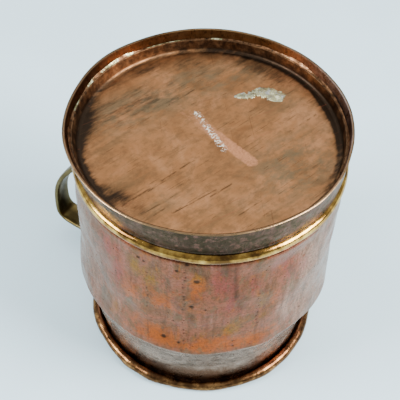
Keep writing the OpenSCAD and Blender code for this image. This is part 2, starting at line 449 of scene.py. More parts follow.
# Metal colours, as linear reflectances
PINK_COPPER = (0.26, 0.075, 0.040)
TAN = (0.155, 0.060, 0.028)
ORANGE_COPPER = (0.36, 0.068, 0.008)
BROWN = (0.075, 0.027, 0.012)
OLIVE = (0.21, 0.09, 0.005)
GREY_GREEN = (0.105, 0.072, 0.036)
MAUVE = (0.155, 0.052, 0.045)
RUST = (0.21, 0.032, 0.007)
ROSE = (0.25, 0.042, 0.034)
# Pale copper, used for pale patina and for the painted sheen on the barrel's sides
PALE_AND_SHEEN = (0.42, 0.225, 0.16)
DARK = (0.014, 0.009, 0.006)
SOOT = (0.020, 0.014, 0.010)
DARK_BRASS = (0.055, 0.038, 0.010)
STRAP_DARK_REFLECTION = (0.022, 0.015, 0.006)
# Painted shade on the neck near the roll
NECK_SHADE = (0.085, 0.036, 0.017)
FOOT_GREEN = (0.075, 0.070, 0.040)
GOLDEN_BROWN = (0.20, 0.115, 0.045)
FLARE_SHADE_UMBER = (0.040, 0.022, 0.012)
WORN_EDGE = (0.33, 0.20, 0.10)
MOTTLED_BROWN = (0.14, 0.075, 0.035)
HAZE_AND_SHADE_GREEN = (0.135, 0.105, 0.060)
SCRATCH_BROWN = (0.060, 0.034, 0.017)
RUBBED_COPPER = (0.62, 0.27, 0.14)
TIN_SPECK = (0.85, 0.78, 0.66)
RUN_DULL = (0.10, 0.075, 0.035)
DROP_DULL = (0.42, 0.41, 0.38)

# Colour ramps, as rows of (position, linear reflectance)
BARREL_RAMP = [(0.32, BROWN), (0.43, TAN), (0.52, PINK_COPPER), (0.60, TAN), (0.72, GREY_GREEN)]
NECK_RAMP = [(0.38, (0.10, 0.07, 0.05)), (0.50, (0.27, 0.195, 0.15)), (0.60, (0.44, 0.33, 0.26))]
ROLL_RAMP = [(0.36, (0.055, 0.024, 0.010)), (0.50, (0.13, 0.058, 0.022)), (0.64, (0.30, 0.15, 0.055))]
TINNED_RAMP = [(0.36, (0.09, 0.075, 0.06)), (0.64, (0.34, 0.32, 0.29))]
FOOT_RAMP = [
    (0.36, (0.03, 0.024, 0.014)),
    (0.46, (0.10, 0.075, 0.045)),
    (0.55, (0.21, 0.10, 0.085)),
    (0.66, (0.17, 0.15, 0.11)),
]
# Dark to pink bloom, laid over the foot's outer face as painted shade
SHADED_BLOOM_RAMP = [(0.0, (0.024, 0.018, 0.011)), (1.0, (0.13, 0.058, 0.045))]
FLARE_RAMP = [(0.34, (0.035, 0.016, 0.008)), (0.50, (0.10, 0.042, 0.02)), (0.66, (0.19, 0.075, 0.028))]
VIOLET_HIGHLIGHT_RAMP = [(0.34, (0.10, 0.07, 0.06)), (0.60, (0.34, 0.26, 0.24))]
BASE_RAMP = [(0.30, (0.20, 0.088, 0.036)), (0.50, (0.31, 0.14, 0.058)), (0.68, (0.40, 0.19, 0.088))]
FLANGE_RAMP = [(0.38, (0.022, 0.013, 0.008)), (0.50, (0.075, 0.038, 0.019)), (0.64, (0.18, 0.095, 0.045))]
BEAD_RAMP = [(0.38, (0.11, 0.050, 0.014)), (0.50, (0.35, 0.18, 0.040)), (0.62, (0.66, 0.40, 0.10))]
STRAP_RAMP = [(0.30, DARK_BRASS), (0.55, (0.12, 0.085, 0.03)), (0.75, (0.19, 0.15, 0.07))]
TIN_BROWN_RAMP = [(0.35, DARK), (0.50, (0.12, 0.055, 0.025)), (0.70, (0.24, 0.13, 0.07))]
IRON_RAMP = [(0.35, (0.10, 0.08, 0.07)), (0.65, (0.28, 0.26, 0.25))]
RIVET_RAMP = [(0.35, DARK_BRASS), (0.60, (0.48, 0.34, 0.14))]

# The way that most scratches on the base run, as the turn of a pattern about Z in degrees
GRAIN = (0, 0, 17)


def barrel_finish():
    """Patches of orange, rose, gold and grey copper, with upright drip lines, pits and spots.

    The roll is a darker golden brown, the neck is paler, with fine lines round it, and the inside
    is tinned."""
    f = Finish("barrel_patina")
    patch = f.noise(13, 5, 0.66, stretch=(1, 1, 1.4), warp=0.7)
    base = f.colour(patch, BARREL_RAMP)
    ragged = f.about_zero(f.noise(5, 5, 0.72, stretch=(1, 1, 1.5), warp=0.9), 3.0)
    wisps = f.about_zero(f.noise(3, 5, 0.7, stretch=(1, 1, 4), shift=(9, 4, 7)), 3.0)
    layers = (
        # Pale layer: partly pale patina, partly a painted sheen on the barrel's two sides
        ("pale", PALE_AND_SHEEN, wisps),
        ("rose", ROSE, wisps),
        ("gold", OLIVE, ragged),
        ("orange", ORANGE_COPPER, ragged),
    )
    for name, tone, edge in layers:
        cover = f.step(f.plus(f.mark(name), edge), 0.1, 1.15)
        base = f.mix(f.times(cover, 0.85), base, tone)
    mauve = f.step(f.noise(3.2, 4, 0.7, stretch=(1, 1, 1.5), shift=(4, 44, 9)), 0.54, 0.70)
    base = f.mix(f.times(mauve, 0.6), base, MAUVE)
    green = f.step(f.noise(2.6, 4, 0.7, stretch=(1, 1, 2), shift=(40, 10, 5)), 0.52, 0.68)
    base = f.mix(f.times(green, 0.6), base, GREY_GREEN)
    red = f.step(f.noise(2.0, 3, 0.7, shift=(14, 1, 5)), 0.60, 0.72)
    base = f.mix(f.times(red, 0.8), base, RUST)
    drips = f.step(f.noise(1.6, 4, 0.65, stretch=(1, 1, 12)), 0.50, 0.72)
    base = f.mix(f.times(drips, 0.65), base, BROWN)
    smears = f.step(f.noise(1.0, 3, 0.65, stretch=(5, 5, 1), turn=(0, 25, 0)), 0.54, 0.72)
    base = f.mix(f.times(smears, 0.3), base, BROWN)
    fine = f.noise(0.8, 4, 0.75)
    base = f.mix(f.step(fine, 0.42, 0.70, 0.0, 0.7), base, BROWN)
    pits = f.step(f.cells(2.6), 0.15, 0.05)
    rare = f.step(f.noise(10, 2, 0.5, shift=(9, 9, 9)), 0.48, 0.58)
    pits = f.times(pits, rare)
    dark = f.most(pits, f.mark("spots"))
    base = f.mix(f.times(dark, 0.85), base, DARK)
    neck = f.mark("neck")
    burnish = f.noise(0.7, 4, 0.7, stretch=(14, 14, 0.8))
    mottled = f.plus(f.times(burnish, 0.5), f.times(f.noise(3, 4, 0.7), 0.5))
    base = f.mix(f.times(neck, 0.85), base, f.colour(mottled, NECK_RAMP))
    # Painted shade on the neck, darker towards the roll
    shade = f.step(f.plus(f.mark("shade"), f.about_zero(f.noise(5, 4, 0.7), 0.9)), 0.25, 0.9)
    base = f.mix(shade, base, NECK_SHADE)
    base = f.mix(f.mark("roll"), base, f.colour(f.noise(3.5, 4, 0.68), ROLL_RAMP))
    # Painted shade: a dark crevice above the roll and a dark wall under the bead
    base = f.mix(f.mark("crevice_shade"), base, DARK)
    base = f.mix(f.mark("inner"), base, f.colour(f.noise(6, 5, 0.7, shift=(2, 2, 8)), TINNED_RAMP))
    rough = f.step(f.noise(6, 4, 0.7, shift=(3, 8, 2)), 0.3, 0.7, 0.15, 0.34)
    rough = f.plus(rough, f.times(dark, 0.35))
    normal = f.relief(
        (f.noise(3.4, 3, 0.5), 0.16),
        (f.times(burnish, f.plus(neck, 0.1)), 0.10),
        (f.noise(0.5, 3, 0.6), 0.012),
        (dark, -0.05),
    )
    return f.done(base, rough, normal)


def foot_finish():
    """Grey-brown satin copper with pink and green bloom: brown inside the flare, bright along the edge."""
    f = Finish("foot_patina", (0.70, 0.62, 0.57))
    base = f.colour(f.noise(4, 5, 0.72, warp=0.5), FOOT_RAMP)
    green = f.step(f.noise(1.2, 4, 0.75, stretch=(1, 1, 1.5), shift=(8, 8, 8)), 0.46, 0.62)
    base = f.mix(f.times(green, 0.35), base, FOOT_GREEN)
    bloom = f.step(f.noise(1.8, 4, 0.72, stretch=(1, 1, 1.3), shift=(5, 1, 3)), 0.50, 0.66)
    # Painted shade: on two sides the outer face turns to a dark bloom
    base = f.mix(f.times(f.mark("dull"), 0.88), base, f.colour(bloom, SHADED_BLOOM_RAMP))
    streaky = f.noise(5, 4, 0.6, stretch=(3, 3, 1))
    inside = f.colour(streaky, FLARE_RAMP)
    # Painted highlight: paler violet-grey inside the flare on one side
    inside = f.mix(f.mark("violet_highlight"), inside, f.colour(streaky, VIOLET_HIGHLIGHT_RAMP))
    inside = f.mix(f.times(f.mark("golden"), 0.7), inside, GOLDEN_BROWN)
    # Painted shade: darker umber inside the flare on the left
    inside = f.mix(f.times(f.mark("flare_shade"), 0.75), inside, FLARE_SHADE_UMBER)
    base = f.mix(f.mark("inside"), base, inside)
    speck = f.step(f.noise(0.7, 3, 0.7, stretch=(1, 1, 2)), 0.50, 0.66)
    base = f.mix(f.times(speck, 0.6), base, DARK)
    # Painted shade in the groove under the lip
    base = f.mix(f.mark("crevice_shade"), base, DARK)
    base = f.mix(f.mark("worn"), base, WORN_EDGE)
    rough = f.step(f.noise(3, 4, 0.7), 0.3, 0.7, 0.24, 0.42)
    normal = f.relief((f.noise(2.4, 2, 0.5), 0.08), (f.noise(0.4, 2, 0.5), 0.012))
    return f.done(base, rough, normal)


def base_finish():
    """Satin orange-brown copper with dark tarnish, streaks and scratches that mostly run one way."""
    f = Finish("base_patina")
    patch = f.noise(14, 5, 0.62, warp=0.5)
    base = f.colour(patch, BASE_RAMP)
    mottle = f.step(f.noise(2.2, 5, 0.7, stretch=(1, 1.6, 1), turn=GRAIN), 0.42, 0.66)
    base = f.mix(f.times(mottle, 0.5), base, MOTTLED_BROWN)
    streak = f.step(f.noise(3.4, 4, 0.65, stretch=(1, 7, 1), turn=GRAIN), 0.48, 0.66)
    base = f.mix(f.times(streak, 0.35), base, GREY_GREEN)
    cloudy = f.step(f.noise(5, 5, 0.75, stretch=(1, 2.2, 1), turn=GRAIN, shift=(2, 9, 4)), 0.40, 0.62)
    # Grey-green haze, with painted shade on the right of the base
    base = f.mix(f.times(f.times(f.mark("haze"), cloudy), 0.75), base, HAZE_AND_SHADE_GREEN)
    cloud = f.noise(2.4, 6, 0.75, stretch=(1, 4.5, 1), turn=GRAIN)
    dark = f.step(f.plus(f.mark("tarnish"), f.about_zero(cloud, 2.2)), 0.15, 1.15)
    base = f.mix(f.times(dark, 0.96), base, SOOT)
    hair = f.step(f.noise(0.5, 3, 0.6, stretch=(1, 46, 1), turn=GRAIN), 0.57, 0.68)
    patchy = f.step(f.noise(5, 3, 0.6, shift=(60, 3, 1)), 0.44, 0.62)
    base = f.mix(f.times(f.times(hair, patchy), 0.7), base, SCRATCH_BROWN)
    pale_hair = f.step(f.noise(0.5, 2, 0.5, stretch=(1, 60, 1), turn=(0, 0, 27)), 0.66, 0.74)
    base = f.mix(f.times(pale_hair, 0.35), base, PINK_COPPER)
    cross = f.step(f.noise(0.5, 2, 0.5, stretch=(1, 50, 1), turn=(0, 0, -40)), 0.70, 0.76)
    base = f.mix(f.times(cross, 0.4), base, BROWN)
    band = f.colour(f.noise(2.6, 5, 0.72, shift=(7, 7, 1)), FLANGE_RAMP)
    base = f.mix(f.times(f.mark("flange"), 0.9), base, band)
    broken = f.step(f.noise(1.5, 4, 0.7, stretch=(1, 3, 1), turn=GRAIN), 0.40, 0.56)
    base = f.mix(f.times(f.times(f.mark("scratches"), broken), 0.7), base, DARK)
    edge = f.plus(f.mark("scraped"), f.about_zero(f.noise(1.8, 5, 0.75), 1.8))
    grainy = f.step(f.noise(0.8, 3, 0.7), 0.35, 0.6, 0.55, 1.1)
    base = f.mix(f.times(f.step(edge, 0.25, 1.1, 0.0, 0.62), grainy), base, RUBBED_COPPER)
    specks = f.step(f.noise(0.75, 3, 0.7), 0.50, 0.58)
    base = f.mix(f.times(f.mark("specks"), specks), base, TIN_SPECK)
    rough = f.step(f.noise(4, 4, 0.7), 0.3, 0.7, 0.36, 0.52)
    normal = f.relief((f.noise(4, 2, 0.5), 0.06), (hair, -0.015), (f.noise(0.3, 2, 0.5), 0.01))
    return f.done(base, rough, normal)


def bead_finish():
    """Polished brass that has gone brown in places, with fine lines along it."""
    f = Finish("bead_brass")
    base = f.colour(f.noise(8, 4, 0.65), BEAD_RAMP)
    # Painted shade along the bead's back, against the collar
    base = f.mix(f.mark("crevice_shade"), base, DARK)
    rough = f.step(f.noise(4, 3, 0.6, shift=(4, 4, 4)), 0.3, 0.7, 0.08, 0.2)
    lines = f.noise(0.4, 2, 0.5, stretch=(30, 30, 1))
    normal = f.relief((f.noise(2.5, 2, 0.5), 0.05), (lines, 0.03))
    return f.done(base, rough, normal)


def handle_finish():
    """Dark olive brass, with a painted dark reflection along its middle that leaves its edges paler."""
    f = Finish("handle_brass")
    base = f.colour(f.noise(8, 4, 0.6), STRAP_RAMP)
    # Painted reflection: a dark band along the strap's middle
    base = f.mix(f.times(f.mark("middle"), 0.85), base, STRAP_DARK_REFLECTION)
    rough = f.step(f.noise(4, 4, 0.7), 0.3, 0.7, 0.28, 0.45)
    normal = f.relief((f.noise(3, 3, 0.5), 0.08), (f.noise(0.4, 2, 0.5), 0.015))
    return f.done(base, rough, normal)


def solder_finish(name, dull):
    """Tin with a yellow-white bloom where it is bright, and brown where it has tarnished over.

    dull is the colour between the bloom's patches."""
    f = Finish(name)
    patch = f.noise(1.8, 4, 0.7)
    bright = f.colour(patch, [(0.38, dull), (0.5, (0.30, 0.27, 0.13)), (0.64, (0.70, 0.68, 0.46))])
    brown = f.colour(patch, TIN_BROWN_RAMP)
    shows = f.step(f.plus(f.mark("bright"), f.about_zero(f.noise(2.2, 4, 0.7), 2.6)), 0.45, 0.75)
    base = f.mix(shows, brown, bright)
    rough = f.step(f.noise(1.5, 3, 0.6), 0.3, 0.7, 0.25, 0.5)
    return f.done(base, rough, f.relief((f.noise(1.2, 3, 0.6), 0.15)))


def wire_finish():
    """Drawn iron wire, hidden inside the roll."""
    f = Finish("iron_wire")
    base = f.colour(f.noise(1.5, 3, 0.6), IRON_RAMP)
    rough = f.step(f.noise(1.0, 3, 0.6), 0.3, 0.7, 0.4, 0.6)
    return f.done(base, rough, f.relief((f.noise(0.5, 2, 0.5), 0.02)))


def rivet_finish():
    """Tarnished brass rivet heads, worn bright on top."""
    f = Finish("rivet_brass")
    base = f.colour(f.noise(1.6, 3, 0.6), RIVET_RAMP)
    rough = f.step(f.noise(1.0, 3, 0.6), 0.3, 0.7, 0.28, 0.45)
    return f.done(base, rough, f.relief((f.noise(0.9, 2, 0.5), 0.05)))


# ---- The body ----

large_dents = field(11, 9, 11)
small_dents = field(12, 3.4, 3.8)
roll_dents = field(13, 2.6, 1.8)
# Depths in mm: the barrel's dents, the hollow low on it, and the roll's lumps
LARGE_DENT = 0.42
SMALL_DENT = 0.17
HOLLOW = 0.5
HOLLOW_Z = 49
HOLLOW_H = 9
ROLL_LUMP = 0.15
ROLL_DENT = 0.10
# The sides of the mug that face the camera, its right and its left, in degrees from +X
CAMERA_SIDE = CAMERA_AZIMUTH - 90
RIGHT_SIDE = CAMERA_SIDE + 90
LEFT_SIDE = CAMERA_SIDE - 90
HANDLE_SIDE = 180
# How far the joint sits to the camera's right
SHIFT = 1.0

# Dark spots on the barrel: (degrees, height, radius), with lengths in mm
SPOTS = (
    (-62, 75.6, 1.1),
    (-75.8, 39.6, 1.1),
    (-66, 84.0, 0.8),
    (-63.8, 61.6, 0.9),
    (-70, 80, 0.7),
    (-71.5, 50.5, 0.5),
    (-45.5, 39.5, 0.5),
    (-45.3, 36.5, 0.5),
    (-69, 38.5, 0.7),
    (-84, 79.5, 0.6),
    (-86.5, 80.5, 0.7),
    (-58, 60.5, 0.5),
)
# Rows of small spots that ran down the barrel: (degrees, lowest height, highest height)
SPOT_ROWS = ((-67, 40, 82), (-35.5, 46, 66), (-83, 55, 78))
SPOT_PITCH = 2.1
# Upright dark streaks: (degrees, lowest height, highest height, width in mm, strength)
STREAKS = (
    (-46.5, 64, 86, 0.9, 0.5),
    (-50, 78, 86, 2.2, 0.5),
    (-74, 55, 75, 0.6, 0.3),
    (-57, 40, 58, 0.5, 0.3),
)


def aside(phi, z):
    """How far a wall moves out where the joint sits a little to one side of the mouth and the foot's edge.

    The move is the cosine of the angle from that side; the wall under the handle's pad keeps its place."""
    amount = SHIFT * ease(z, 38, 66) * (1 - ease(z, LIP[1], HEIGHT))
    pad = bump(turn_to(phi, HANDLE_SIDE), 0, 0.3) * (1 - ease(z, 70, 80))
    return amount * np.cos(turn_to(phi, RIGHT_SIDE)) * (1 - pad)


def body_push(phi, path):
    """Dents, the roll's hammer marks, the joint's move to one side and a hollow low on the barrel.

    Both faces of the sheet take the same move, which depends on angle and height only."""
    r, z = path[None, :, 0], path[None, :, 1]
    above_neck = ease(z, 8, 16) * (1 - ease(z, 76, 84))
    out = above_neck * (LARGE_DENT * sample(large_dents, phi, z) + SMALL_DENT * sample(small_dents, phi, z))
    out = out - HOLLOW * bump(z, HOLLOW_Z, HOLLOW_H) + aside(phi, z)
    in_roll = 1 - ease(z, 4.6, 7.0)
    centre = np.array([NECK_R + WIRE_R, ROLL_R])
    way = path - centre
    way = way / np.maximum(np.linalg.norm(way, axis=1)[:, None], 1e-6)
    lumps = ROLL_LUMP * sample(roll_dents, phi, z * 0 + 4)
    lump = in_roll * (lumps + ROLL_DENT * sample(small_dents, phi, z + 60))
    rise = np.maximum(z + lump * way[None, :, 1], 0.0)
    return np.stack([r + out + lump * way[None, :, 0], np.where(in_roll > 0, rise, z)], -1)


# Patches of colour on the barrel. The two large pale ones either side of the front are a painted sheen
# where the wall turns away from the camera; the rest are patina:
# (degrees, height in mm, half width in degrees, half height in mm, strength)
PATCHES = {
    "pale": (
        (-4, 62, 17, 40, 1.0),
        (-124, 62, 14, 40, 0.9),
        (-100, 45, 5, 6, 0.4),
        (-22, 50, 5, 5, 0.5),
    ),
    "orange": (
        (-77, 60, 6, 6, 1.0),
        (-80, 41, 9, 5, 1.0),
        (-50, 40, 12, 4.5, 1.2),
        (-62, 71, 4, 8, 0.9),
        (-90, 58, 6, 6, 0.7),
        (-60, 37, 32, 3, 0.7),
        (-28, 60, 4, 6, 0.8),
        (-25, 40, 9, 4, 0.6),
    ),
    "gold": (
        (-46, 47, 5, 5, 0.9),
        (-82, 72, 6, 5, 0.9),
        (-89, 76, 3, 6, 0.8),
        (-62, 77, 2.5, 4, 1.0),
        (-33, 57, 2.5, 7, 0.8),
        (-101, 43, 3, 5, 0.6),
        (-58, 44, 6, 3, 0.5),
    ),
    "rose": (
        (-52, 74, 5, 9, 0.9),
        (-47, 60, 4, 9, 0.8),
        (-103, 77, 6, 7, 1.0),
        (-21, 70, 7, 6, 0.7),
        (-26, 78, 6, 5, 0.8),
        (-98, 64, 5, 8, 0.9),
        (-38, 72, 4, 8, 0.6),
    ),
}
# Twice as many again lie on the far side, at random: ranges of their degrees, heights and half sizes
FAR_SIDE = (0, 235)
FAR_HEIGHT = (38, 80)
FAR_WIDE = (4, 10)
FAR_TALL = (4, 9)
FAR_STRENGTH = 0.6


def patch_mark(name, seed):
    """A rule that adds up the bell curves of the patches with that name."""
    rng = np.random.default_rng(seed)
    ranges = (FAR_SIDE, FAR_HEIGHT, FAR_WIDE, FAR_TALL)
    rows = list(PATCHES[name])
    rows += [(*(rng.uniform(*limits) for limits in ranges), FAR_STRENGTH) for _ in rows * 2]

    def rule(phi, r, z):
        across = (turn_to(phi, degrees) / math.radians(wide) for degrees, _, wide, _, _ in rows)
        up = ((z - height) / tall for _, height, _, tall, _ in rows)
        total = sum(row[4] * np.exp(-(a**2) - u**2) for row, a, u in zip(rows, across, up))
        return np.clip(total, 0, 1.2) * ease(z, 33, 34)

    return rule


def spot_mark(phi, r, z):
    """1 on the dark spots, spot rows and streaks, falling to 0 at their edges."""
    mark = np.zeros(np.broadcast(phi, z).shape)
    for degrees, height, radius in SPOTS:
        away = np.hypot(turn_to(phi, degrees) * r, z - height)
        mark = np.maximum(mark, 1 - ease(away, radius * 0.55, radius * 1.2))
    for row, (degrees, low, high) in enumerate(SPOT_ROWS):
        rng = np.random.default_rng(50 + row)
        for height in np.arange(low, high, SPOT_PITCH):
            at = degrees + rng.normal(0, 0.35)
            size = rng.uniform(0.16, 0.42)
            away = np.hypot(turn_to(phi, at) * r, (z - height - rng.normal(0, 0.4)) * 0.8)
            mark = np.maximum(mark, 0.8 * (1 - ease(away, size * 0.5, size * 1.4)))
    for degrees, low, high, width, strength in STREAKS:
        along = ease(z, low - 3, low + 4) * (1 - ease(z, high - 2, high + 2))
        mark = np.maximum(mark, strength * along * bump(turn_to(phi, degrees) * r, 0, width))
    return mark


def neck_mark(phi, r, z):
    """1 on the neck, below the crease."""
    return (1 - ease(z, 31.5, 33.5)) * ease(z, 4, 8)


def shade_mark(phi, r, z):
    """Painted shade that darkens the neck towards the roll, heaviest on the side towards the camera."""
    return (1 - ease(z, 7, 24)) * (0.45 + 0.55 * bump(turn_to(phi, CAMERA_SIDE - 10), 0, 0.9))


def roll_mark(phi, r, z):
    """1 on the rolled rim."""
    return 1 - ease(z, 4.0, 4.8)


def body_crevice_shade(phi, r, z):
    """Painted shade in the crevice above the roll, and under the bead."""
    crevice = bump(z, 4.2, 0.8) * (1 - ease(r, NECK_R + 0.5, NECK_R + 1.2))
    under_bead = ease(z, LEDGE_Z - 0.6, LEDGE_Z - 0.1)
    return np.clip(0.25 * crevice + 0.7 * under_bead, 0, 1)


def inner_mark(phi, r, z):
    """1 on the wall's inner face, which is tinned. It is the second half of the outline."""
    columns = r.shape[-1]
    return ease(z, 4.5, 6) * (np.arange(columns) >= columns / 2)


def make_body():
    """The raised sheet: its outer face from the curl up to the collar, and its inner face back down."""
    outer = join(curl, neck, barrel, shoulder_turn, collar)
    outline = shell(even(outer, 0.42), SHEET)
    marks = {
        "spots": spot_mark,
        "neck": neck_mark,
        "roll": roll_mark,
        "crevice_shade": body_crevice_shade,
        "shade": shade_mark,
        "inner": inner_mark,
    }
    for seed, name in enumerate(PATCHES):
        marks[name] = patch_mark(name, seed)
    piece = revolve("body_sheet", outline, body_push, True, marks)
    place(piece, "body", barrel_finish())


# ---- The foot ring, base pan, solder and bead ----

edge_wave = field(21, 9, 60)
# Depths in mm: the edge's wave, the flare's dents and the rolled line along its lower lip
EDGE_WAVE = 0.22
FLARE_DENT = 0.05
LIP_LINE = 0.14

# Where the foot ring's tones lie: rows of (degrees, half width in radians, strength)
# Painted shade: the outer face darkened on the camera's side and at 150 degrees
SHADED_SIDES = ((CAMERA_SIDE, 0.65, 1), (150, 0.5, 1))
# Painted highlight: a pale violet-grey sheen inside the flare on one side
VIOLET_HIGHLIGHT_SIDES = ((38, 0.45, 1.2),)
GOLDEN_SIDES = ((115, 0.5, 1),)
# Painted shade: darker inside the flare on the left
FLARE_SHADE_SIDES = ((190, 0.6, 1),)


def side_mark(rows):
    """A rule that adds up bell curves round the mug."""
    return lambda phi, r, z: sum(high * bump(turn_to(phi, d), 0, wide) for d, wide, high in rows) + 0 * z


def make_foot_ring():
    """The band's outline: plug, ledge and flare, cut level at the foot's edge."""
    path = even(np.array([[PLUG_R, foot_lo[2]], [PLUG_R, LIP[1]], LIP, [EDGE_R, HEIGHT]]), 0.2)
    outline = shell(path, SHEET)
    outline[:, 1] = np.minimum(outline[:, 1], HEIGHT)

    def push(phi, path):
        r, z = path[None, :, 0], path[None, :, 1]
        out = EDGE_WAVE * sample(edge_wave, phi, z) * ease(z, JOINT_Z, HEIGHT) + aside(phi, z)
        out = out + FLARE_DENT * sample(small_dents, phi, z) * ease(z, JOINT_Z + 1, JOINT_Z + 4)
        out = out + LIP_LINE * bump(z, LIP[1] + 0.4, 0.35) * (r > LIP[0] - SHEET / 2)
        return np.stack([r + out, z + 0 * out], -1)

    def inside(phi, r, z):
        middle = LIP[0] + (z - LIP[1]) * math.tan(LEAN) - SHEET / 2 + aside(phi, z)
        return ease(middle - r, -0.1, 0.1)

    # Painted shade on the outer face below the lip, in the groove above the bead
    def crevice_shade(phi, r, z):
        return (1 - ease(z, LIP[1] + 0.02, LIP[1] + 0.2)) * (1 - inside(phi, r, z))

    def worn(phi, r, z):
        return ease(z, HEIGHT - 0.14, HEIGHT) * (1 - inside(phi, r, z))

    marks = {
        "inside": inside,
        "crevice_shade": crevice_shade,
        "worn": worn,
        "dull": side_mark(SHADED_SIDES),
        "violet_highlight": side_mark(VIOLET_HIGHLIGHT_SIDES),
        "golden": side_mark(GOLDEN_SIDES),
        "flare_shade": side_mark(FLARE_SHADE_SIDES),
    }
    piece = revolve("foot_band", outline, push, True, marks)
    place(piece, "foot_ring", foot_finish())


def inside_flare(z):
    """The radius of the flare's inner face at a height, less the gap."""
    return LIP[0] + (z - LIP[1]) * math.tan(LEAN) - (SHEET + GAP) / math.cos(LEAN)


# Marks on the base, with lengths in mm about its middle
# Tarnish: (x, y, half length, half width, degrees, strength)
TARNISH = (
    (-36, -20, 12, 6, 65, 0.6),
    (-9, -37, 11, 3.5, 0, 0.8),
    (26, 33.5, 12, 3.0, -50, 0.8),
    (-27, 2, 15, 7, 60, 0.5),
    (31, 4, 15, 8, 78, 0.22),
    (-21, 28, 12, 7, 35, 0.45),
    (0, 38, 14, 5, 0, 0.75),
    (-36, 14, 10, 3, 65, 0.6),
)
# Darker arcs along the edge of the base: (degrees, half width in radians, inner radius, strength)
EDGE_TARNISH = (
    (-150, 0.5, 35.5, 1.0),
    (-118, 0.35, 39, 0.8),
    (50, 0.42, 40.5, 0.95),
    (20, 0.3, 41.0, 0.4),
    (95, 0.7, 40.5, 0.45),
)
# Grey-green haze: (x, y, half length, half width, degrees, strength). The last, broad row, on the right, is
# painted shade
HAZE_AND_SHADE = (
    (-22, 12, 22, 9, 70, 1.0),
    (-8, 30, 14, 6, 60, 0.8),
    (-30, -8, 14, 7, 65, 0.8),
    (14, 30, 8, 5, 60, 0.5),
    (4, -30, 8, 5, 60, 0.5),
    # Painted shade: a broad darker cloud on the base's right
    (30, 5, 18, 11, 78, 1.3),
)
# Depths of the base's slow swell and of its dents
BASE_SWELL = 0.05
BASE_DENT = 0.02
# The radius at which the base's face ends
PAN_EDGE_R = 42.5
# Long scratches: (start, end, half width)
SCRATCHES = (
    ((-6.2, -39.2), (2.3, -9.2), 0.35),
    ((-19.1, 4.5), (-15.8, 16.3), 0.3),
    ((21.0, 16.4), (24.7, 28.6), 0.3),
    ((14.0, -21.3), (16.8, -13.4), 0.3),
    ((-3, -30), (0, -20), 0.25),
    ((8, -33), (14, -18), 0.25),
)
# The scraped band and the row of tin specks beside it: (start, end, half width)
SCRAPED = ((-17.7, 6.9), (17.3, -1.9), 2.6)
SPECKS = ((-8.9, 7.1), (7.3, -2.1), 1.6)


def off_line(x, y, start, end):
    """Distance from a straight line between two points."""
    (x0, y0), (x1, y1) = start, end
    dx, dy = x1 - x0, y1 - y0
    t = np.clip(((x - x0) * dx + (y - y0) * dy) / (dx * dx + dy * dy), 0, 1)
    return np.hypot(x - x0 - t * dx, y - y0 - t * dy)


def clouds(x, y, rows):
    """The sum of turned bell curves: (x, y, half length, half width, turn in degrees, strength)."""
    total = 0 * x
    for cx, cy, length, width, degrees, strength in rows:
        c, s = math.cos(math.radians(degrees)), math.sin(math.radians(degrees))
        u, v = (x - cx) * c + (y - cy) * s, (y - cy) * c - (x - cx) * s
        total = total + strength * np.exp(-((u / length) ** 2) - (v / width) ** 2)
    return total


def tarnish_mark(phi, r, z):
    """Tarnish in clouds and along the edge, up to where the flange begins."""
    mark = 0.4 * ease(r, 40.0, PAN_EDGE_R) * (1 - ease(z, PAN_FACE + 1.0, PAN_FACE + 2.2))
    mark = mark + clouds(r * np.cos(phi), r * np.sin(phi), TARNISH)
    for degrees, wide, inner, strength in EDGE_TARNISH:
        mark = mark + strength * bump(turn_to(phi, degrees), 0, wide) * ease(r, inner, PAN_EDGE_R)
    return np.clip(mark, 0, 1.4)


def haze_and_shade_mark(phi, r, z):
    """1 where the grey-green haze is thickest, and on the painted shade at the base's right."""
    return np.clip(clouds(r * np.cos(phi), r * np.sin(phi), HAZE_AND_SHADE), 0, 1)


def scratch_mark(phi, r, z):
    """1 along the middle of each long scratch."""
    x, y = r * np.cos(phi), r * np.sin(phi)
    lines = [1 - ease(off_line(x, y, a, b), w * 0.3, w * 1.2) for a, b, w in SCRATCHES]
    return np.max(lines, axis=0)


def scraped_mark(phi, r, z):
    """The scraped band, stronger towards its end."""
    x, y = r * np.cos(phi), r * np.sin(phi)
    a, b, w = SCRAPED
    along = ((x - a[0]) * (b[0] - a[0]) + (y - a[1]) * (b[1] - a[1])) / math.dist(a, b) ** 2
    return (1 - ease(off_line(x, y, a, b), w * 0.55, w * 1.1)) * (0.35 + 0.65 * ease(along, 0.1, 0.75))


def speck_mark(phi, r, z):
    """1 along the row of tin specks."""
    a, b, w = SPECKS
    return 1 - ease(off_line(r * np.cos(phi), r * np.sin(phi), a, b), w * 0.2, w)


def flange_mark(phi, r, z):
    """1 on the flange."""
    return ease(z, PAN_FACE + 0.5, PAN_FACE + 2.0)


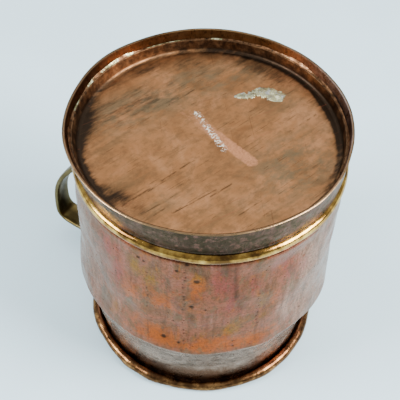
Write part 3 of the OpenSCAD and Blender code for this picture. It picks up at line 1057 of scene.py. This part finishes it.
def make_base_pan():
    """The pan's outline: its face, a bend and the flange up the flare's inside, then back underneath."""
    bend_turn = 90 - math.degrees(LEAN)
    corner = inside_flare(pan_lo[2])
    bend = (corner - PAN_BEND_R * math.tan(math.radians(bend_turn / 2)), pan_lo[2] + PAN_BEND_R)
    top = (inside_flare(pan_hi[2]), pan_hi[2] - 0.1)
    under = join([(0, pan_lo[2])], arc(bend, PAN_BEND_R, -90, -90 + bend_turn, 14), [top])
    outline = shell(even(under, 0.3), SHEET)
    outline[-1, 0] = 0

    def push(phi, path):
        r, z = path[None, :, 0], path[None, :, 1]
        x, y = r * np.cos(phi), r * np.sin(phi)
        flat = 1 - ease(r, 36, 40)
        swell = BASE_SWELL * sample(large_dents, x / MEAN_R + 2, y + 60)
        swell = swell + BASE_DENT * sample(small_dents, x / MEAN_R + 1, y + 60)
        return np.stack([r + aside(phi, z) * r / LIP[0], z + flat * swell], -1)

    marks = {
        "tarnish": tarnish_mark,
        "scratches": scratch_mark,
        "scraped": scraped_mark,
        "specks": speck_mark,
        "flange": flange_mark,
        "haze": haze_and_shade_mark,
    }
    piece = revolve("base_plate", outline, push, False, marks)
    place(piece, "base_pan", base_finish())


# Where the run of solder is still bright: (degrees, half width in degrees)
SOLDER_BRIGHT = ((-161, 5), (-174, 4), (171, 6), (160, 3), (147, 5), (137, 4), (118, 3))
# The run's height up the flare in mm: usual, its unevenness, what is added on the full side, least, most
RUN_H = 0.6
RUN_UNEVEN = 0.22
RUN_FULL = 0.5
RUN_LEAST = 0.25
RUN_MOST = 1.7


def make_base_solder():
    """A fillet whose height up the flare varies all round, fullest where it was run twice."""
    low = solder_lo[2] + 0.02
    run = field(31, 3.0, 60)
    phi = np.linspace(0, TAU, 480, endpoint=False)[:, None]
    t = np.linspace(0, 1, 9)[None, :]
    left = bump(turn_to(phi, LEFT_SIDE - 25), 0, 0.55)
    tall = RUN_H + RUN_UNEVEN * sample(run, phi, 30) + RUN_FULL * left
    z_top = np.minimum(low + np.clip(tall, RUN_LEAST, RUN_MOST), solder_hi[2] + 0.6)
    r_low = inside_flare(low) - SHEET * 0.85
    # The front face runs from the flange's top out to the flare, and the back face down the flare
    z_front = low + (z_top - low) * t
    r_front = r_low + (inside_flare(z_top) - r_low) * t**0.7
    z_back = z_top + (low - z_top) * t
    r_back = inside_flare(z_back)
    r = np.concatenate([r_front, r_back[:, 1:]], 1)
    z = np.concatenate([z_front, z_back[:, 1:]], 1)
    r = r + aside(phi, z)
    points = np.stack([r * np.cos(phi), r * np.sin(phi), z], -1)
    bright = sum(bump(turn_to(phi, d), 0, math.radians(w)) for d, w in SOLDER_BRIGHT) + 0 * r
    piece = grid_mesh("base_solder_run", points, True, True, {"bright": np.clip(bright, 0, 1)})
    place(piece, "base_solder", solder_finish("solder_run", RUN_DULL))


# Depths of the bead's dents, outwards and up
BEAD_DENT = 0.08
BEAD_WAVE = 0.04


def make_bead_ring():
    """A half-round wire: a half circle on a flat back, with small dents along it."""
    flat_r = COLLAR_R + GAP
    proud = bead_hi[0] - flat_r
    centre = (bead_hi[0] - BEAD_W / 2, BEAD_Z)
    reach = math.degrees(math.acos((flat_r - centre[0]) / (BEAD_W / 2)))
    round_face = arc(centre, BEAD_W / 2, -reach, reach, 34)
    back = np.stack([np.full(8, flat_r), np.linspace(round_face[-1][1], round_face[0][1], 8)], 1)
    outline = join(round_face, back[1:-1])
    dents = field(41, 4.5, 2.0)

    def push(phi, path):
        r, z = path[None, :, 0], path[None, :, 1]
        front = ease(r, flat_r + 0.2, flat_r + proud)
        out = front * BEAD_DENT * sample(dents, phi, z) + aside(phi, z)
        wave = BEAD_WAVE * sample(dents, phi, z * 0 + 20)
        return np.stack([r + out, z + wave], -1)

    # Painted shade where the bead's flat back meets the collar
    def crevice_shade(phi, r, z):
        return 0.9 * (1 - ease(r, flat_r, flat_r + 0.35))

    piece = revolve("bead_wire", outline, push, True, {"crevice_shade": crevice_shade})
    place(piece, "bead_ring", bead_finish())


# ---- The handle ----

# The strap's width at the broad pad, at the fullest part of the loop and at the round pad
W_MOUTH = 14.0
W_MID = 7.6
W_FOOT = 4.6
PAD_D = 7.6
# The heights of the pads' middles, and where the strap bends away from the wall
GRIP_LOW = 18.0
GRIP_HIGH = HEIGHT - 37
LEAVE_LOW = 14.8
LEAVE_HIGH = GRIP_HIGH - PAD_D / 2 - 1.0
BEND_R = 3.0
# The loop's fullest part: its height, and how far it stands out past the crease
LOOP_Z = 15.5
REACH = 24.5
# The angles at which the strap leaves its two pads
DIP = 11
CLIMB = 46
# The section's squareness: 2 is an ellipse, and more is squarer
SQUARENESS = 5
CROWN = 0.25
WOBBLE = 0.12


def strap_path():
    """The middle of the strap, as (radius, height): pad, bend, loop, bend, pad."""

    def on_wall(z):
        return np.array([wall_r(z) + STRAP_T / 2, z])

    dip, climb = math.radians(DIP), math.radians(CLIMB)
    span = LEAVE_HIGH - LOOP_Z
    low_bend = arc(on_wall(LEAVE_LOW) + (BEND_R, 0), BEND_R, 180, 270 - DIP, 10)
    high_bend = arc(on_wall(LEAVE_HIGH) + (BEND_R, 0), BEND_R, 180 + CLIMB, 180, 8)
    fullest = np.array([CREASE[0] + REACH, LOOP_Z])
    start = low_bend[-1]
    low_loop = cubic(
        start,
        start + REACH * 0.8 * np.array([math.cos(dip), -math.sin(dip)]),
        fullest - (0, LOOP_Z * 0.6),
        fullest,
        50,
    )
    high_loop = cubic(
        fullest,
        fullest + (0, span * 0.3),
        high_bend[0] + span * 0.7 * np.array([math.cos(climb), -math.sin(climb)]),
        high_bend[0],
        60,
    )
    pad_low = [on_wall(z) for z in np.linspace(GRIP_LOW + W_MOUTH / 2, LEAVE_LOW, 12)]
    pad_high = [on_wall(z) for z in np.linspace(LEAVE_HIGH, GRIP_HIGH + PAD_D / 2, 12)]
    return even(join(pad_low, low_bend, low_loop, high_loop, high_bend, pad_high), 0.4)


def strap_width(path):
    """Width along the strap: a round-ended broad pad, a taper to the fullest part and a round pad."""
    run = np.r_[0, np.cumsum(np.linalg.norm(np.diff(path, axis=0), axis=1))]
    total = run[-1]
    at_full = run[np.argmax(path[:, 0])]
    taper = np.interp(run, [0, W_MOUTH * 0.7, at_full, total], [W_MOUTH, W_MOUTH, W_MID, W_FOOT])
    pad = PAD_D * np.sqrt(np.clip(1 - ((run - total + PAD_D / 2) / (PAD_D / 2)) ** 2, 0, 1))
    into_pad = np.maximum(pad, np.where(run < total - PAD_D / 2, taper, 0))
    width = np.where(run > total - PAD_D, into_pad, taper)
    round_end = W_MOUTH * np.sqrt(np.clip(1 - ((W_MOUTH / 2 - run) / (W_MOUTH / 2)) ** 2, 0, 1))
    width = np.where(run < W_MOUTH / 2, round_end, width)
    return run, np.maximum(width, 0.02)


def make_handle():
    """A rounded-rectangle section carried along the strap's path, wrapped round the wall at its pads.

    At angle a the section is w/2 sgn(cos a)|cos a|^(2/p) across and t/2 sgn(sin a)|sin a|^(2/p) through."""
    path = strap_path()
    run, width = strap_width(path)
    side = left_of(path)
    outward = side * np.sign(side[len(side) // 2, 0])
    a = np.linspace(0, TAU, 48, endpoint=False)
    power = 2 / SQUARENESS
    across = np.sign(np.cos(a)) * np.abs(np.cos(a)) ** power
    through = np.sign(np.sin(a)) * np.abs(np.sin(a)) ** power
    half_w = width[:, None] / 2
    crown = CROWN * (1 - across[None, :] ** 2) * (through[None, :] > 0)
    thick = STRAP_T / 2 * np.clip(width / 2.0, 0.05, 1)[:, None]
    y = half_w * across[None, :]
    lift = thick * through[None, :] * 0.9 + crown * np.clip(width / 4, 0, 1)[:, None]
    near_wall = np.clip(1 - (path[:, 0] - wall_r(path[:, 1]) - STRAP_T / 2) / 3.0, 0, 1)[:, None]
    x_wrap = near_wall * y**2 / (2 * path[:, :1])
    wobble = sample(field(61, 9, 9), run[:, None] / MEAN_R, 30 + 0 * y) * WOBBLE
    r = path[:, :1] + outward[:, :1] * lift - x_wrap
    z = path[:, 1:] + outward[:, 1:] * lift
    points = np.stack([-r, y + wobble, z], -1)
    points = cap_ends(points)
    # Where the painted dark reflection lies: along the strap's middle
    middle = bump(across[None, :] + 0.1, 0, 0.5) + 0 * y
    middle = np.concatenate([middle[:1], middle, middle[-1:]])
    piece = grid_mesh("strap_handle", points, False, True, {"middle": middle})
    place(piece, "handle", handle_finish())


# ---- The splash of solder on the base ----

# The way that the drop ran, as rows of (x, y, half width) in mm
SPLASH = np.array(
    [
        (-2.8, 20.5, 1.1),
        (0.0, 23.2, 2.0),
        (2.1, 25.0, 1.6),
        (3.6, 28.6, 2.4),
        (5.4, 28.6, 2.7),
        (7.6, 29.2, 2.9),
        (10.0, 28.6, 3.3),
        (12.4, 27.2, 2.0),
    ]
)
SPLASH_STEPS = 140
SPLASH_SINK = 0.12
SPLASH_H = 0.30
SPLASH_LUMP = 0.12


def smooth(values, window):
    """A list of values averaged over a moving window, with its ends held."""
    kernel = window / window.sum()
    return np.convolve(np.pad(values, len(window) // 2, mode="edge"), kernel, "valid")


def make_splash():
    """A thin drop that runs along a short path: a low dome across it, with a ragged outline."""
    t = np.linspace(0, len(SPLASH) - 1, SPLASH_STEPS)
    steps = (np.interp(t, np.arange(len(SPLASH)), column) for column in SPLASH.T)
    cx, cy, half = (smooth(column, np.hanning(23)) for column in steps)
    centre = np.stack([cx, cy], 1)
    ragged = np.random.default_rng(71).normal(0, 1, (2, SPLASH_STEPS))
    ragged = np.stack([smooth(row, np.ones(7)) for row in ragged]) * 1.1
    ends = np.sqrt(np.clip(1 - np.abs(np.linspace(-1, 1, SPLASH_STEPS)) ** 6, 0, 1))
    side = left_of(centre)
    across = np.linspace(-1, 1, 31)[None, :]
    left_reach, right_reach = ((half * (1 + 0.35 * row))[:, None] for row in ragged)
    reach = np.where(across > 0, left_reach, right_reach) * ends[:, None]
    flat = centre[:, None, :] + side[:, None, :] * (across * reach)[..., None]
    lumps = sample(field(72, 1.0, 1.0), flat[..., 0] / MEAN_R + 1, flat[..., 1] + 40)
    high = (SPLASH_H + SPLASH_LUMP * lumps) * np.clip(1 - across**2, 0, 1) ** 0.6 * ends[:, None]
    top = np.concatenate([flat, (PAN_FACE + np.maximum(high, 0.0))[..., None]], -1)
    bottom = np.concatenate([flat, np.full(flat.shape[:2] + (1,), PAN_FACE - SPLASH_SINK)], -1)
    points = cap_ends(np.concatenate([top, bottom[:, ::-1]], 1))
    piece = grid_mesh("solder_splash", points, False, True, {"bright": np.ones(points.shape[:2])})
    place(piece, None, solder_finish("solder_drop", DROP_DULL))


make_body()
make_foot_ring()
make_base_pan()
make_base_solder()
make_bead_ring()
make_handle()
make_splash()

# The wire and the rivets stay as they are in the CAD model, and only take a finish
KEPT = {"rim_wire": wire_finish, "mouth_rivets": rivet_finish, "foot_rivet": rivet_finish}
for node, finish in KEPT.items():
    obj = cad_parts[node]
    obj.data.materials.clear()
    obj.data.materials.append(finish())

# ---- The floor and the light ----

FLOOR = (0.64, 0.84, 0.93)
FLOOR_HALF = 3.0
SKY = (0.80, 0.92, 0.97)
SKY_STRENGTH = 0.72
COOL_WHITE = (0.95, 0.98, 1.0)
WHITE = (1, 1, 1)
AIM_HEIGHT = 0.05
# Square lamps: (name, size, power, azimuth, elevation, distance, colour), in metres, watts and degrees
LAMPS = (
    ("window", 0.45, 20.0, CAMERA_AZIMUTH + 72, 36, 0.9, WHITE),
    ("fill", 0.4, 13.0, CAMERA_AZIMUTH - 72, 32, 0.9, COOL_WHITE),
    ("ceiling", 1.0, 5.0, CAMERA_AZIMUTH + 180, 62, 1.1, WHITE),
)


def add_floor():
    """A wide pale table top that the rolled rim stands on."""
    mesh = bpy.data.meshes.new("table_top")
    corners = [(x * FLOOR_HALF, y * FLOOR_HALF, 0) for x, y in ((-1, -1), (1, -1), (1, 1), (-1, 1))]
    mesh.from_pydata(corners, [], [(0, 1, 2, 3)])
    floor = bpy.data.objects.new("table_top", mesh)
    bpy.context.collection.objects.link(floor)
    f = Finish("table_paint")
    base = f.mix(f.step(f.noise(60, 2, 0.5), 0.35, 0.65), FLOOR, tuple(c * 0.97 for c in FLOOR))
    rough = f.step(f.noise(20, 2, 0.5), 0.3, 0.7, 0.45, 0.55)
    mesh.materials.append(f.done(base, rough, None, 0.0))


def add_light(name, size, power, azimuth, elevation, distance, colour):
    """A square lamp that faces the mug's middle."""
    data = bpy.data.lights.new(name, "AREA")
    data.shape = "SQUARE"
    data.size = size
    data.energy = power
    data.color = colour
    back = toward(azimuth, elevation)
    lamp = bpy.data.objects.new(name, data)
    lamp.location = back * distance + Vector((0, 0, AIM_HEIGHT))
    lamp.rotation_mode = "QUATERNION"
    lamp.rotation_quaternion = back.to_track_quat("Z", "Y")
    bpy.context.collection.objects.link(lamp)


def add_world():
    """An even, pale blue sky."""
    world = bpy.data.worlds.new("studio")
    world.use_nodes = True
    background = world.node_tree.nodes["Background"]
    background.inputs["Color"].default_value = (*SKY, 1)
    background.inputs["Strength"].default_value = SKY_STRENGTH
    bpy.context.scene.world = world


add_floor()
add_world()
for lamp_row in LAMPS:
    add_light(*lamp_row)
